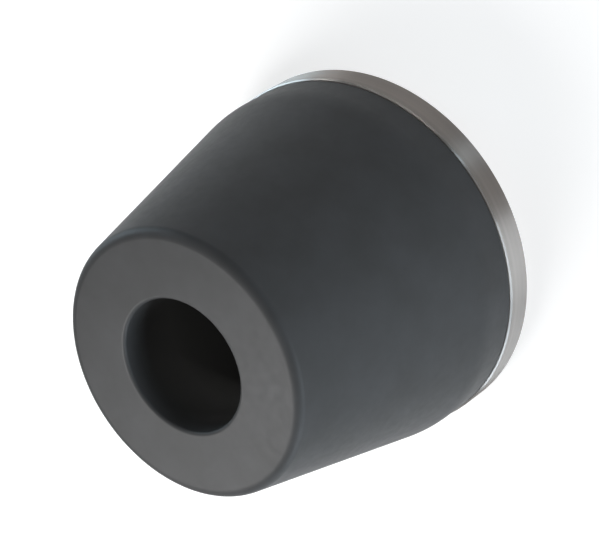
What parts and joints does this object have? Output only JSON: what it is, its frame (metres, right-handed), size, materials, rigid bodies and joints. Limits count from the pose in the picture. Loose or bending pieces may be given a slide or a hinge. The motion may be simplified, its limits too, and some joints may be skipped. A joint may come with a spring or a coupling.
{
  "type": "rubber damper",
  "caption": "Tapered rubber damper bonded to a flat round steel plate. A fixing screw passes through the plate, with its head sunk in the central bore.",
  "frame": {"origin": "centre of the steel plate's underside, on the damper's axis", "axes": "+Z along the damper's axis, from the steel plate to the rubber's striking face"},
  "size_m": [0.05, 0.05, 0.041],
  "materials": {
    "rubber": "matte, as moulded",
    "plate_steel": "satin, with a turned edge"
  },
  "bodies": {
    "root": {"rubber_body": "rubber", "base_plate": "plate_steel"}
  },
  "joints": []
}
